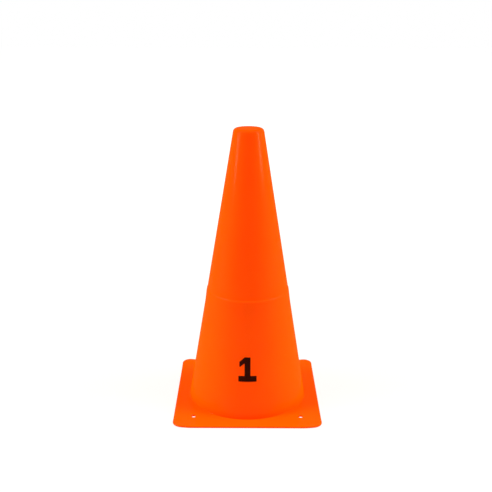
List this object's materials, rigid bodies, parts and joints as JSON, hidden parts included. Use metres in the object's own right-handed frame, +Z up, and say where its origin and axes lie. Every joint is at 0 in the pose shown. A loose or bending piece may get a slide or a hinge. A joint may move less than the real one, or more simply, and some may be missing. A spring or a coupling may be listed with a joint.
{
  "type": "sports marker cone",
  "caption": "Tall thin-walled marker cone on a square flange with peg holes, open underneath for stacking, with a plain printed numeral.",
  "frame": {"origin": "centre of the flange's underside, where the cone stands", "axes": "+Z up the cone's axis; the printed numeral faces -Y; X and Y lie along the flange's sides"},
  "size_m": [0.1564, 0.1564, 0.3],
  "materials": {
    "orange_polyethylene": "satin",
    "black_ink": "satin"
  },
  "bodies": {
    "root": {"base_flange": "orange_polyethylene", "lower_wall": "orange_polyethylene", "upper_wall": "orange_polyethylene", "top_cap": "orange_polyethylene", "front_numeral": "black_ink"}
  },
  "joints": []
}
